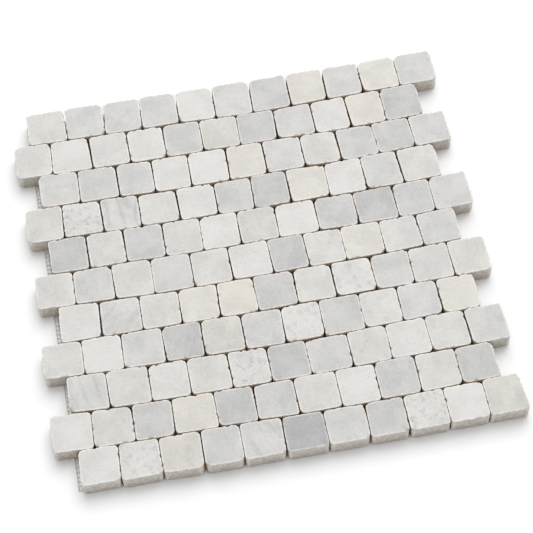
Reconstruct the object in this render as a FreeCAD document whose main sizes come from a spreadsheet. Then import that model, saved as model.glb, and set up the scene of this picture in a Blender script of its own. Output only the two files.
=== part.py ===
import FreeCAD, Part
import math
import os
import random

import Sketcher

# Mosaic tile sheet of tumbled marble, millimetres.
# Square tiles lie in slightly bowed rows, every second row shifted by half a step, on one thin glass net.
# X runs along the rows, Y from the front row to the back row, Z up.
# The origin is the middle of the sheet, on the plane that the net rests on.

# Driving dimensions: name, value and what it measures.
SIZES = (
    ("tile_size", 26.3, "side of a tile as sawn, before its corners wear"),
    ("tile_thickness", 12.5, "sawn thickness of the marble"),
    ("joint_width", 0.2, "open joint between two tiles where both are at their full size"),
    ("joint_lean", 0.3, "how far the ends of a joint within a row lean to either side"),
    ("corner_setback", 0.9, "how far a corner may stand back from the square that the tile was sawn to"),
    ("size_spread", 1.2, "how much wider or narrower than its nominal size a tile may be"),
    ("row_stray", 3.0, "how far the end of a row may stand out or back"),
    ("row_bow", 2.2, "how far all rows bow to the front, from the lowest point to half a row away"),
    ("row_sway", 0.7, "how far the joint between two rows strays from that bow"),
    ("corner_wear", 1.2, "cut across an upright corner that tumbling has worn"),
    ("corner_batter", 2.2, "cut across an upright corner that tumbling has knocked off"),
    ("corner_ease", 0.5, "further rounding on both sides of each corner cut"),
    ("arris_wear", 0.4, "edge worn off all round the face of a tile"),
    ("tiles_per_row", 11, "tiles in a row"),
    ("row_count", 11, "rows in the sheet"),
    ("net_thickness", 0.5, "thickness of the net with its glue"),
    ("net_overhang", 3.0, "net showing beyond the left end of a row that is set back"),
    ("net_inset", 3.5, "net kept back from the other outer edges of the tiles"),
    ("thread_width", 0.8, "width of a thread of the net"),
    ("mesh_width", 2.2, "step along X from thread to thread of the net"),
    ("mesh_length", 3.2, "step along Y from thread to thread of the net"),
)

# Lengths that follow from the driving dimensions, as expressions on the sheet.
STEP = "(Sizes.tile_size + Sizes.joint_width)"
ROW_LENGTH = f"((Sizes.tiles_per_row - 1) * {STEP} + Sizes.tile_size)"
SHEET_DEPTH = f"((Sizes.row_count - 1) * {STEP} + Sizes.tile_size)"
SHIFT_SHARE = 0.25
ROW_SHIFT = f"({SHIFT_SHARE} * {STEP})"
NET_LEFT = f"(-{ROW_LENGTH} / 2 + {ROW_SHIFT} - Sizes.net_overhang)"
NET_RIGHT = f"({ROW_LENGTH} / 2 - {ROW_SHIFT} - Sizes.net_inset)"
NET_FRONT = f"(-{SHEET_DEPTH} / 2 + Sizes.net_inset)"
NET_BACK = f"({SHEET_DEPTH} / 2 - Sizes.net_inset)"

# The corners of a tile, anticlockwise from the front left, as signs along X and Y.
CORNERS = ((-1, -1), (1, -1), (1, 1), (-1, 1))

# How far the left and the right end of each row stand out, from the back row on.
# Each is a share of the row stray, and below zero where the end stands back.
ROW_ENDS = ((0.7, 0.1), (0.1, -0.9), (-0.1, -0.5), (-0.3, -0.5), (-0.1, 0.5), (-0.3, 0.1),
            (-0.2, 0.5), (0.2, 0.3), (0.2, 0.5), (0.5, 0.4), (0.3, 0.2))

# The rows bow to the front together, lowest a little left of the middle and highest at their right end.
# The lowest place is in steps from the middle, and its depth is a share of the bow.
# The outer edges of the sheet bow by a share of what the joints between the rows do.
BOW_LOWEST = -0.5
BOW_DEPTH = 0.68
OUTER_BOW = 0.5

# The sway of a joint between two rows is a long wave with a short one on it, measured in steps.
LONG_WAVE = (9, 13)
SHORT_WAVE = (4.5, 6)
LONG_WAVE_SHARE = 0.6

# One corner in four of a tumbled tile is knocked off rather than worn.
BATTERED_SHARE = 0.25

# An edge is upright where this much of its direction is vertical.
UPRIGHT = 0.99

# Points of a sketch element, as the sketcher counts them.
START, END = 1, 2
SKETCH_ORIGIN = (-1, START)


def make_size_sheet(doc):
    """Put each driving dimension on a line of the spreadsheet."""
    sheet = doc.addObject("Spreadsheet::Sheet", "Sizes")
    for line, (name, value, meaning) in enumerate(SIZES, start=1):
        sheet.set(f"A{line}", name)
        sheet.set(f"B{line}", str(value))
        sheet.setAlias(f"B{line}", name)
        sheet.set(f"C{line}", meaning)
    doc.recompute()
    return sheet


def new_body(doc, name):
    """Start the body of one sub-part, which may hold several solids."""
    body = doc.addObject("PartDesign::Body", name)
    body.Label = name
    body.AllowCompound = True
    return body


def new_sketch(body, purpose):
    """Start a sketch on the body's own ground plane."""
    sketch = body.newObject("Sketcher::SketchObject", f"{body.Label}_{purpose}")
    plane = next(feature for feature in body.Origin.OriginFeatures if feature.Role == "XY_Plane")
    sketch.AttachmentSupport = [(plane, "")]
    sketch.MapMode = "FlatFace"
    return sketch


def draw_quads(sketch, quads):
    """Draw four-sided outlines, each corner held by an expression across and one along."""
    lines, constraints, bindings = [], [], []
    for quad in quads:
        first = len(lines)
        values = [[sketch.evalExpression(expression) for expression in corner] for corner in quad]
        points = [FreeCAD.Vector(across, along, 0) for across, along in values]
        for place, (corner, point) in enumerate(zip(quad, points)):
            following = (place + 1) % len(quad)
            lines.append(Part.LineSegment(point, points[following]))
            held = (first + place, START)
            for kind, expression, value in zip(("DistanceX", "DistanceY"), corner, point):
                bindings.append((len(constraints), expression))
                constraints.append(Sketcher.Constraint(kind, *SKETCH_ORIGIN, *held, value))
            constraints.append(Sketcher.Constraint("Coincident", first + place, END, first + following, START))
    sketch.addGeometry(lines)
    sketch.addConstraint(constraints)
    for place, expression in bindings:
        sketch.setExpression(f"Constraints[{place}]", expression)


def tile_shares(count, wear):
    """Give each tile of a row its share of the size spread, none of it on average."""
    shares = [wear.uniform(-1, 1) for _ in range(count)]
    excess = sum(shares) / count
    return [share - excess for share in shares]


def setback_share(wear):
    """Give one corner's share of the setback: little on most corners, much on a few."""
    return wear.random() ** 3


def row_bow(place, columns, strength):
    """Give the height and the turn of the shared bow, as shares of it, at a place in steps from the middle."""
    half = columns / 2
    away = (place - BOW_LOWEST) / half
    return strength * (away ** 2 - BOW_DEPTH * strength), strength * away / half


def joint_sway(joint, place):
    """Give the sway, from -1 to 1, of a joint between two rows at a place in steps from the middle."""
    wave = random.Random(f"joint {joint}")
    turn = 2 * math.pi
    long_part = math.sin(turn * (place / wave.uniform(*LONG_WAVE) + wave.random()))
    short_part = math.sin(turn * (place / wave.uniform(*SHORT_WAVE) + wave.random()))
    return LONG_WAVE_SHARE * long_part + (1 - LONG_WAVE_SHARE) * short_part


def row_outlines(sheet, row, wear):
    """Give the four corners of each tile in a row: uneven widths, bowed rows and corners that stand back."""
    rows, columns = int(sheet.row_count), int(sheet.tiles_per_row)
    shares = tile_shares(columns, wear)
    leans = [wear.uniform(-1, 1) for _ in range(columns + 1)]
    left_out, right_out = ROW_ENDS[row % len(ROW_ENDS)]
    stretch = f"{left_out + right_out:.2f} * Sizes.row_stray / Sizes.tiles_per_row"
    shift = SHIFT_SHARE if row % 2 == 0 else -SHIFT_SHARE
    reached = 0
    quads = []
    for column, share in enumerate(shares):
        left = (f"-{ROW_LENGTH} / 2 - {left_out} * Sizes.row_stray + {column} * ({STEP} + {stretch})"
                f" + {reached:.3f} * Sizes.size_spread")
        width = f"Sizes.tile_size + {stretch} + {share:.3f} * Sizes.size_spread"
        reached += share
        quad = []
        for side, end in CORNERS:
            joint = row if end > 0 else row + 1
            place = column + (side + 1 - columns) / 2 + shift
            inner = 0 < joint < rows
            sway = joint_sway(joint, place) if inner else 0
            height, turn = row_bow(place, columns, 1 if inner else OUTER_BOW)
            lean = end * leans[column + (side + 1) // 2]
            back, inward = setback_share(wear), setback_share(wear)
            edge = left if side < 0 else f"{left} + {width}"
            quad.append((f"{edge} + {lean:.3f} * Sizes.joint_lean - {end * turn:.3f} * Sizes.row_bow"
                         f" - {side * inward:.3f} * Sizes.corner_setback",
                         f"{end} * Sizes.tile_size / 2 + {sway:.3f} * Sizes.row_sway + {height:.3f} * Sizes.row_bow"
                         f" - {end * back:.3f} * Sizes.corner_setback"))
        quads.append(quad)
    return quads


def upright_edges(shape):
    """Give the number and place of each upright edge of a shape."""
    places = {}
    for number, edge in enumerate(shape.Edges, start=1):
        foot, head = edge.Vertexes[0].Point, edge.Vertexes[-1].Point
        if foot.distanceToPoint(head) > edge.Tolerance and abs((head - foot).normalize().z) > UPRIGHT:
            places[number] = (foot.x, foot.y)
    return places


def upper_faces(shape):
    """Name the top face of each solid."""
    level = shape.BoundBox.ZMax
    return [f"Face{number}" for number, face in enumerate(shape.Faces, start=1)
            if level - face.BoundBox.ZMin < face.Tolerance * 2]


def chamfer(body, purpose, base, names, size):
    """Chamfer the named edges or faces of a feature by a size of the sheet."""
    feature = body.newObject("PartDesign::Chamfer", f"{body.Label}_{purpose}")
    feature.Base = (base, names)
    feature.setExpression("Size", size)
    feature.Document.recompute()
    return feature


def make_tile_row(doc, sheet, row):
    """Make one row of tiles, counted from the back of the sheet: separate worn solids."""
    body = new_body(doc, f"tile_row_{row + 1:02d}")
    wear = random.Random(row)
    outlines = new_sketch(body, "outlines")
    draw_quads(outlines, row_outlines(sheet, row, wear))

    slabs = body.newObject("PartDesign::Pad", f"{body.Label}_slabs")
    slabs.Profile = outlines
    slabs.setExpression("Length", "Sizes.tile_thickness")
    doc.recompute()

    corners = upright_edges(slabs.Shape)
    battered = {number for number in corners if wear.random() < BATTERED_SHARE}
    knocked = chamfer(body, "battered_corners", slabs, [f"Edge{n}" for n in sorted(battered)], "Sizes.corner_batter")
    worn_places = [place for number, place in corners.items() if number not in battered]
    left = [number for number, place in upright_edges(knocked.Shape).items() if place in worn_places]
    worn = chamfer(body, "worn_corners", knocked, [f"Edge{n}" for n in left], "Sizes.corner_wear")
    eased = chamfer(body, "eased_corners", worn, [f"Edge{n}" for n in upright_edges(worn.Shape)], "Sizes.corner_ease")
    chamfer(body, "arrises", eased, upper_faces(eased.Shape), "Sizes.arris_wear")

    shift = ROW_SHIFT if row % 2 == 0 else f"-{ROW_SHIFT}"
    body.setExpression(".Placement.Base.x", shift)
    body.setExpression(".Placement.Base.y", f"((Sizes.row_count - 1) / 2 - {row}) * {STEP}")
    body.setExpression(".Placement.Base.z", "Sizes.net_thickness")
    return body


def rectangle(left, right, front, back):
    """Give the four corners of a rectangle between four expressions."""
    return [(left, front), (right, front), (right, back), (left, back)]


def make_backing_net(doc):
    """Make the net: one sheet under the tiles, cut open between its threads where its left edge shows."""
    body = new_body(doc, "backing_net")
    outline = new_sketch(body, "outline")
    draw_quads(outline, [rectangle(NET_LEFT, NET_RIGHT, NET_FRONT, NET_BACK)])
    web = body.newObject("PartDesign::Pad", "net_web")
    web.Profile = outline
    web.setExpression("Length", "Sizes.net_thickness")

    opening = new_sketch(body, "opening")
    draw_quads(opening, [rectangle(f"{NET_LEFT} + Sizes.thread_width", f"{NET_LEFT} + Sizes.mesh_width",
                                   f"{NET_FRONT} + Sizes.thread_width", f"{NET_FRONT} + Sizes.mesh_length")])
    cut = body.newObject("PartDesign::Pocket", "net_opening")
    cut.Profile = opening
    cut.Reversed = True
    cut.Type = "ThroughAll"
    doc.recompute()

    edge = body.newObject("PartDesign::LinearPattern", "net_edge_openings")
    edge.Originals = [cut]
    edge.Direction = (opening, ["V_Axis"])
    edge.Mode = "Spacing"
    edge.setExpression("Offset", "Sizes.mesh_length")
    edge.setExpression("Occurrences", f"floor(({NET_BACK} - {NET_FRONT} - Sizes.thread_width) / Sizes.mesh_length)")
    body.Tip = edge
    doc.recompute()
    return body


def check(doc, bodies):
    """Stop if any object failed or any sub-part is not made of sound solids."""
    for item in doc.Objects:
        if "Invalid" in item.State or "Error" in item.State:
            raise RuntimeError(f"{item.Label} failed: {item.State}")
    for body in bodies:
        if body.Shape.isNull() or not body.Shape.isValid() or not body.Shape.Solids:
            raise RuntimeError(f"{body.Label} is not a sound solid")


def main():
    doc = FreeCAD.newDocument("MosaicTileSheet")
    sheet = make_size_sheet(doc)
    bodies = [make_tile_row(doc, sheet, row) for row in range(int(sheet.row_count))]
    bodies.append(make_backing_net(doc))
    doc.recompute()
    check(doc, bodies)

    os.makedirs("parts", exist_ok=True)
    for body in bodies:
        body.Shape.exportStep(f"parts/{body.Label}.step")
        print(body.Label, len(body.Shape.Solids), "solids", round(body.Shape.Volume), "mm3")


main()
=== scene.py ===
import logging
import math
import random
from dataclasses import dataclass, field
from enum import Enum

import bmesh
import bpy
from mathutils import Matrix, Quaternion, Vector, noise


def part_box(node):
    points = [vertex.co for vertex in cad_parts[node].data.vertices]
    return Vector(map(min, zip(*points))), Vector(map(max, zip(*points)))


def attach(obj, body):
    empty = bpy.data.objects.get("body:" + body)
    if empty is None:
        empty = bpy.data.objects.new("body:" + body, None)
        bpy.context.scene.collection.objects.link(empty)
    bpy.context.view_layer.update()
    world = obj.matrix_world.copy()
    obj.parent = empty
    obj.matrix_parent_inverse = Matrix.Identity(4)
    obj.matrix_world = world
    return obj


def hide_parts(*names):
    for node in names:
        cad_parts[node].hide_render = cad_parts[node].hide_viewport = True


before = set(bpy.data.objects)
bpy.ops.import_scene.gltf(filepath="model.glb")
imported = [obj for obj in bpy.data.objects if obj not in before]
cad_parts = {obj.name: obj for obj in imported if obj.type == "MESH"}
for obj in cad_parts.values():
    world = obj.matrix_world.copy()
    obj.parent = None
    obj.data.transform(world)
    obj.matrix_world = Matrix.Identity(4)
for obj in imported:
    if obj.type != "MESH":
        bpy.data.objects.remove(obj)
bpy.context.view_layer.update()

LOG = logging.getLogger("mosaic_sheet")

MM = 0.001
ROW_COUNT = 11
NET_NODE = "backing_net"
ROOT_BODY = "root"

# Reading a CAD row: doubles are merged, flat faces joined, and the faces that point down are the beds.
MERGE_DISTANCE = 0.01 * MM
FLAT_ANGLE = math.radians(1.0)
DOWNWARD = -0.99

# Finding corners: how many stations to each side the turn is measured over, and how sharp it is.
CORNER_REACH = 2
CORNER_FROM = math.radians(18.0)
CORNER_FULL = math.radians(50.0)
CORNER_LEAST = 0.5

# Each tile's noise is shifted by its seed along X, and by this share of it along Y.
SEED_SLANT = 0.7

FLOAT = "NodeSocketFloat"
VECTOR = "NodeSocketVector"

Colour = tuple[float, float, float]
Loop = list[bmesh.types.BMVert]
Socket = bpy.types.NodeSocket

# Colours that are shared: freshly crushed marble, whose pale tint on the edges is partly a painted highlight,
# and the soil that gathers in joints and pits.
CRUSHED_AND_HIGHLIGHT: Colour = (0.958, 0.951, 0.936)
GRIME: Colour = (0.735, 0.615, 0.465)


def linear(colour: Colour) -> tuple[float, float, float, float]:
    """Turn a colour as seen on screen into the linear colour that a shader takes, by the sRGB formula.

    Args:
        colour: Red, green and blue, from 0 to 1 on screen.

    Returns:
        The linear colour with an alpha of 1.
    """
    def channel(value: float) -> float:
        """Undo the screen's curve for one channel."""
        return value / 12.92 if value <= 0.04045 else ((value + 0.055) / 1.055) ** 2.4
    return *map(channel, colour), 1.0


class Stone(Enum):
    """The kinds of marble that the sheet is mixed from."""

    WHITE = "white"
    PALE = "pale"
    LIGHT_GREY = "light grey"
    MID_GREY = "mid grey"
    DARK_GREY = "dark grey"
    DEEP_GREY = "deep grey"
    WARM_GREY = "warm grey"
    IVORY = "ivory"
    CREAM = "cream"
    SPECKLED = "speckled"
    BANDED = "banded"


@dataclass(frozen=True)
class StoneLook:
    """How one kind of marble looks: each value runs from 0, none, to 1, full."""

    greyness: float
    warmth: float = 0.0
    flecks: float = 0.15
    bands: float = 0.1


LOOKS: dict[Stone, StoneLook] = {
    Stone.WHITE: StoneLook(greyness=0.07, flecks=0.15, bands=0.05),
    Stone.PALE: StoneLook(greyness=0.19, warmth=0.15, flecks=0.25),
    Stone.LIGHT_GREY: StoneLook(greyness=0.33, flecks=0.20, bands=0.20),
    Stone.MID_GREY: StoneLook(greyness=0.46, flecks=0.15, bands=0.25),
    Stone.DARK_GREY: StoneLook(greyness=0.62, flecks=0.10, bands=0.30),
    Stone.DEEP_GREY: StoneLook(greyness=0.90, flecks=0.10, bands=0.20),
    Stone.WARM_GREY: StoneLook(greyness=0.25, warmth=0.36, flecks=0.25, bands=0.20),
    Stone.IVORY: StoneLook(greyness=0.11, warmth=0.40, flecks=0.15),
    Stone.CREAM: StoneLook(greyness=0.05, warmth=0.54, flecks=0.10),
    Stone.SPECKLED: StoneLook(greyness=0.11, flecks=1.0),
    Stone.BANDED: StoneLook(greyness=0.26, flecks=0.15, bands=1.0),
}

# How often each kind turns up among the tiles that are left to the draw.
MIX: dict[Stone, float] = {
    Stone.WHITE: 0.08,
    Stone.PALE: 0.62,
    Stone.LIGHT_GREY: 0.30,
}

# The tiles whose kind of stone is set, as (row from the back, place from the left), both from 1.
PLACED: dict[Stone, tuple[tuple[int, int], ...]] = {
    Stone.WHITE: (
        (1, 5), (2, 2), (2, 4), (3, 4), (4, 5), (4, 9), (5, 5), (5, 7), (6, 6), (7, 1), (8, 2), (9, 3),
        (9, 9), (10, 1), (10, 8), (11, 1), (11, 10),
    ),
    Stone.LIGHT_GREY: (
        (1, 2), (1, 3), (1, 4), (1, 6), (1, 9), (1, 11), (2, 8), (3, 1), (3, 3), (3, 7), (3, 11), (4, 10),
        (6, 2), (8, 3), (8, 6), (9, 7), (11, 7),
    ),
    Stone.MID_GREY: (
        (1, 7), (2, 5), (2, 7), (3, 9), (3, 10), (4, 6), (5, 3), (5, 8), (5, 10), (7, 6), (8, 8), (10, 3),
        (10, 6), (10, 9), (11, 8),
    ),
    Stone.DARK_GREY: ((2, 11), (4, 7), (5, 1), (5, 9), (6, 7), (8, 4), (9, 6), (10, 5), (10, 11)),
    Stone.DEEP_GREY: ((11, 6),),
    Stone.WARM_GREY: ((2, 6), (5, 6), (8, 5), (11, 3), (11, 11)),
    Stone.IVORY: ((1, 8), (1, 10), (2, 10), (4, 8), (7, 4), (10, 4)),
    Stone.CREAM: ((3, 6), (6, 9), (7, 5), (8, 11)),
    Stone.SPECKLED: ((4, 2), (7, 8), (8, 7), (9, 5), (11, 2), (11, 9)),
    Stone.BANDED: ((4, 3), (7, 2), (9, 1), (11, 5)),
}


@dataclass
class StoneMixer:
    """Chooses the marble of each tile.

    Attributes:
        seed: Seed of the draw.
        tone_spread: How far a tile's greyness strays from its kind's own.
        warmth_share: Least and most that a tile has of its kind's warmth.
        mark_share: Least and most that it has of its kind's flecks and bands.
        draw: Source of the draw.
        placed: The kinds that are set, by row and place.
    """

    seed: int = 11
    tone_spread: float = 0.035
    warmth_share: tuple[float, float] = (0.7, 1.1)
    mark_share: tuple[float, float] = (0.6, 1.2)
    draw: random.Random = field(init=False)
    placed: dict[tuple[int, int], Stone] = field(init=False)

    def __post_init__(self) -> None:
        """Start the draw."""
        self.draw = random.Random(self.seed)
        self.placed = {place: kind for kind, places in PLACED.items() for place in places}

    def look(self, row: int, place: int) -> StoneLook:
        """Choose the look of one tile, a little off its kind's own.

        Args:
            row: Row from the back, from 1.
            place: Place from the left, from 1.

        Returns:
            The tile's look.
        """
        drawn = self.draw.choices(list(MIX), weights=list(MIX.values()))[0]
        look = LOOKS[self.placed.get((row, place), drawn)]
        tone = look.greyness + self.draw.uniform(-self.tone_spread, self.tone_spread)
        return StoneLook(
            greyness=min(1.0, max(0.0, tone)),
            warmth=look.warmth * self.draw.uniform(*self.warmth_share),
            flecks=look.flecks * self.draw.uniform(*self.mark_share),
            bands=look.bands * self.draw.uniform(*self.mark_share),
        )


@dataclass(frozen=True)
class Ring:
    """One closed ring of a tile's section.

    Attributes:
        height: Height in millimetres above the bed, or above the face, where it is 0 or less.
        inset: Distance in from the outline, in millimetres.
        rim: Share of crushed edge at this ring, from 0 to 1; its pale tint is partly a painted highlight.
        wall: Share of wall at this ring, from 1 on the wall to 0 on the face.
        shrink: Share by which the ring is drawn together to the middle of the face.
        from_face: Whether the height counts from the face.
    """

    height: float
    inset: float
    rim: float = 0.0
    wall: float = 1.0
    shrink: float = 0.0
    from_face: bool = False


BED_RINGS = (Ring(0.0, 0.30), Ring(0.12, 0.12), Ring(0.45, 0.03), Ring(1.1, 0.0))
WALL_RINGS = tuple(Ring(height, 0.0) for height in (2.2, 3.4, 4.6, 5.8, 7.0, 8.2, 9.3, 10.3))
# The rim share of these rings sets the pale crushed edge, which is partly a painted highlight.
ARRIS_RINGS = (
    Ring(-1.50, 0.00, rim=0.10, from_face=True),
    Ring(-0.95, 0.01, rim=0.25, wall=0.9, from_face=True),
    Ring(-0.55, 0.04, rim=0.55, wall=0.7, from_face=True),
    Ring(-0.28, 0.09, rim=0.90, wall=0.4, from_face=True),
    Ring(-0.10, 0.16, rim=1.00, wall=0.1, from_face=True),
    Ring(0.0, 0.27, rim=1.00, wall=0.0, from_face=True),
)
FACE_RINGS = (
    Ring(0.0, 0.65, rim=0.60, wall=0.0, from_face=True),
    Ring(0.0, 1.40, wall=0.0, from_face=True),
    Ring(0.0, 0.0, wall=0.0, shrink=0.32, from_face=True),
    Ring(0.0, 0.0, wall=0.0, shrink=0.60, from_face=True),
)
SECTION = BED_RINGS + WALL_RINGS + ARRIS_RINGS + FACE_RINGS


@dataclass
class Outline:
    """The outline of one tile, as evenly spread stations in order round it, anticlockwise.

    Attributes:
        points: The stations.
        outward: Direction out of the tile at each.
        corners: How sharply the outline turns at each, from 0 on a straight side to 1 at a corner.
        spacing: Step from one to the next.
    """

    points: list[Vector]
    outward: list[Vector]
    corners: list[float]
    spacing: float

    @classmethod
    def measure(cls, ring: Loop) -> "Outline":
        """Measure the stations of a ring.

        Args:
            ring: Vertices in anticlockwise order.

        Returns:
            The outline.
        """
        points = [vert.co.copy() for vert in ring]
        count = len(points)
        outward, length = [], 0.0
        for station, point in enumerate(points):
            along = points[(station + 1) % count] - points[station - 1]
            outward.append(Vector((along.y, -along.x, 0.0)).normalized())
            length += (point - points[station - 1]).length
        turns = [outward[station - CORNER_REACH].angle(outward[(station + CORNER_REACH) % count])
                 for station in range(count)]
        corners = [min(1.0, max(0.0, (turn - CORNER_FROM) / (CORNER_FULL - CORNER_FROM))) for turn in turns]
        return cls(points, outward, corners, length / count)

    @property
    def count(self) -> int:
        """Give the number of stations."""
        return len(self.points)

    @property
    def middle(self) -> Vector:
        """Give the middle of the outline."""
        return sum(self.points, Vector()) / self.count

    def corner_stations(self) -> list[int]:
        """Find the station in the middle of each corner.

        Returns:
            The stations where the outline turns more than at either neighbour.
        """
        return [station for station, corner in enumerate(self.corners)
                if corner > CORNER_LEAST and corner > self.corners[station - 1]
                and corner >= self.corners[(station + 1) % self.count]]


@dataclass(frozen=True)
class ChipHabit:
    """How tumbling chips the upper edge of a tile, its lengths in millimetres.

    Attributes:
        fewest: Fewest chips of a tile, besides those at its corners.
        most: Most of them.
        half_length: Least and most of half a chip's length along the edge.
        depths: Depths that a chip is drawn from.
        corner_half_length: The half length where the chip is at a corner.
        outer_corner_depths: The depths at a corner where nothing faces it.
        joint_corner_depths: The depths at a corner in a joint.
        steepest: Most depth, as a share of the half length.
        reach: Least and most that a chip goes down the wall, as a share of its depth.
        least_drop: Least that it goes down.
    """

    fewest: int = 10
    most: int = 20
    half_length: tuple[float, float] = (0.6, 1.9)
    depths: tuple[float, ...] = (0.12, 0.2, 0.3, 0.45, 0.75)
    corner_half_length: tuple[float, float] = (1.4, 2.6)
    outer_corner_depths: tuple[float, ...] = (0.3, 0.5, 0.8)
    joint_corner_depths: tuple[float, ...] = (0.05, 0.1, 0.2)
    steepest: float = 0.55
    reach: tuple[float, float] = (1.8, 3.4)
    least_drop: float = 0.6


@dataclass
class Chipping:
    """The chips along the upper edge of one tile, one of them at each corner.

    Attributes:
        bite: How deep a chip bites at each station, in metres.
        drop: How far down the wall it fades out there, in metres.
    """

    bite: list[float]
    drop: list[float]

    @classmethod
    def draw(cls, outline: Outline, open_air: list[bool], dice: random.Random,
             habit: ChipHabit = ChipHabit()) -> "Chipping":
        """Scatter chips along an outline.

        Args:
            outline: Outline of the tile.
            open_air: Whether nothing faces the tile at each station.
            dice: Source of the draw.
            habit: How the chips are made.

        Returns:
            The chipping.
        """
        length = outline.count * outline.spacing
        chips = [(dice.uniform(0.0, length), dice.uniform(*habit.half_length), dice.choice(habit.depths))
                 for _ in range(dice.randint(habit.fewest, habit.most))]
        for station in outline.corner_stations():
            depths = habit.outer_corner_depths if open_air[station] else habit.joint_corner_depths
            half_length = dice.uniform(*habit.corner_half_length)
            chips.append((station * outline.spacing, half_length, dice.choice(depths)))
        bite = [0.0] * outline.count
        drop = [habit.least_drop * MM] * outline.count
        for centre, half_length, most_depth in chips:
            half = half_length * MM
            depth = min(half_length * habit.steepest, most_depth) * MM
            reach = depth * dice.uniform(*habit.reach)
            for station in range(outline.count):
                apart = abs(station * outline.spacing - centre)
                apart = min(apart, length - apart)
                share = 1.0 - (apart / half) ** 2
                if share > 0.0 and depth * share > bite[station]:
                    bite[station] = depth * share
                    drop[station] = max(drop[station], reach)
        return cls(bite, drop)


@dataclass(frozen=True)
class Wear:
    """How unevenly tumbling wears a tile: depths in metres, sizes of lumps in millimetres.

    Attributes:
        closer: How far walls in a joint stand outside the CAD walls.
        wave: Depth of the slow waves all over the walls.
        outer_grit: Depth of the grit on walls that nothing faces.
        joint_grit: Depth of the grit on walls in a joint.
        least_grit: Level of the grit's noise from where it shows.
        outer_nibble: Depth of the nibbled edge where nothing faces it.
        joint_nibble: Depth of the nibbled edge in a joint.
        outer_worn: How worn an edge is on average where nothing faces it.
        joint_worn: How worn it is on average in a joint.
        worn_spread: How far that varies along the edge.
        worn_limits: Least and most that an edge is worn.
        chip_inset: Distance in from the outline where chips end, in millimetres.
        rim_sink: Share of a chip's bite by which the rim sinks.
        wall_sink: Share of it by which the wall sinks.
    """

    closer: float = 0.05 * MM
    wave: float = 0.04 * MM
    wave_lump: float = 6.0
    outer_grit: float = 0.26 * MM
    joint_grit: float = 0.03 * MM
    least_grit: float = 0.25
    grit_lump: float = 1.6
    fine_grit_lump: float = 0.9
    fine_grit_share: float = 0.25
    outer_nibble: float = 0.50 * MM
    joint_nibble: float = 0.26 * MM
    nibble_lump: float = 1.5
    broad_nibble_lump: float = 3.1
    broad_nibble_share: float = 0.5
    outer_worn: float = 0.7
    joint_worn: float = 0.4
    worn_spread: float = 1.2
    worn_lump: float = 7.0
    worn_limits: tuple[float, float] = (0.1, 1.4)
    chip_inset: float = 2.2
    rim_sink: float = 0.6
    wall_sink: float = 0.4

    def rim_inset(self, level: Ring, here: Vector, open_air: bool) -> float:
        """Wear back a ring of the upper edge at one place.

        Args:
            level: The ring's place in the section.
            here: The tile's own coordinates there, in millimetres.
            open_air: Whether nothing faces the wall there.

        Returns:
            Distance in from the outline, which is below 0 where it is hardly worn.
        """
        worn = self.outer_worn if open_air else self.joint_worn
        worn += self.worn_spread * noise.noise(Vector((here.x, here.y, 0.0)) / self.worn_lump)
        worn = min(self.worn_limits[1], max(self.worn_limits[0], worn))
        nibbled = noise.noise(here / self.nibble_lump)
        nibbled += self.broad_nibble_share * noise.noise(here / self.broad_nibble_lump)
        nibble = self.outer_nibble if open_air else self.joint_nibble
        return (level.inset * MM + nibble * level.rim * nibbled) * worn

    def inset(self, level: Ring, here: Vector, open_air: bool) -> float:
        """Work out how far in a ring stands at one place, without chips.

        Args:
            level: The ring's place in the section.
            here: The tile's own coordinates there, in millimetres.
            open_air: Whether nothing faces the wall there.

        Returns:
            Distance in from the outline.
        """
        inset = self.rim_inset(level, here, open_air) if level.rim > 0.0 else level.inset * MM
        inset = max(0.0, inset) + self.wave * (0.5 + 0.5 * noise.noise(here / self.wave_lump))
        grit = 0.5 + 0.5 * noise.noise(here / self.grit_lump)
        grit += self.fine_grit_share * noise.noise(here / self.fine_grit_lump)
        grit = max(0.0, grit - self.least_grit)
        if open_air:
            return inset + self.outer_grit * grit * level.wall
        return inset + (self.joint_grit * grit * level.wall - self.closer)


@dataclass
class TumbledTile:
    """One tile while it grows ring by ring in its row's mesh.

    Attributes:
        ring: Vertices of its present ring.
        outline: Its outline.
        chips: Its chips.
        open_air: Whether nothing faces it at each station.
        look: Its stone.
        seed: What sets its noise apart from that of the other tiles.
        bed: Height of its bed.
        top: Height of its face.
        wear: How it is worn.
    """

    ring: Loop
    outline: Outline
    chips: Chipping
    open_air: list[bool]
    look: StoneLook
    seed: float
    bed: float
    top: float
    wear: Wear = Wear()

    def edges(self, mesh: bmesh.types.BMesh) -> list[bmesh.types.BMEdge]:
        """Give the edges of the present ring."""
        return [mesh.edges.get(pair) for pair in zip(self.ring, self.ring[1:] + self.ring[:1])]

    def draw_together(self, share: float, height: float) -> None:
        """Draw the present ring together to the middle of the face.

        Args:
            share: How far it is drawn together, from 0 to 1.
            height: Height of the ring.
        """
        middle = self.outline.middle
        for point, vert in zip(self.outline.points, self.ring):
            vert.co = middle.lerp(point, 1.0 - share)
            vert.co.z = height

    def bite(self, station: int, level: Ring, height: float) -> float:
        """Work out how deep a chip bites at a station of the present ring.

        Args:
            station: The station.
            level: The ring's place in the section.
            height: Height of the ring.

        Returns:
            The depth, which fades down the wall and in from the edge.
        """
        fade = max(0.0, 1.0 - (self.top - height) / self.chips.drop[station])
        return self.chips.bite[station] * fade * max(0.0, 1.0 - level.inset / self.wear.chip_inset)

    def place(self, level: Ring) -> None:
        """Put the present ring at its level, with its wear.

        Args:
            level: The ring's place in the section.
        """
        height = (self.top if level.from_face else self.bed) + level.height * MM
        if level.shrink > 0.0:
            self.draw_together(level.shrink, height)
            return
        shift = Vector((self.seed, self.seed * SEED_SLANT, 0.0))
        sink = self.wear.rim_sink if level.rim > 0.0 else self.wear.wall_sink
        for station, vert in enumerate(self.ring):
            point, outward = self.outline.points[station], self.outline.outward[station]
            here = (Vector((point.x, point.y, height)) + shift) / MM
            inset = self.wear.inset(level, here, self.open_air[station])
            bite = self.bite(station, level, height)
            vert.co = point - outward * (inset + bite)
            vert.co.z = height - bite * sink


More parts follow.
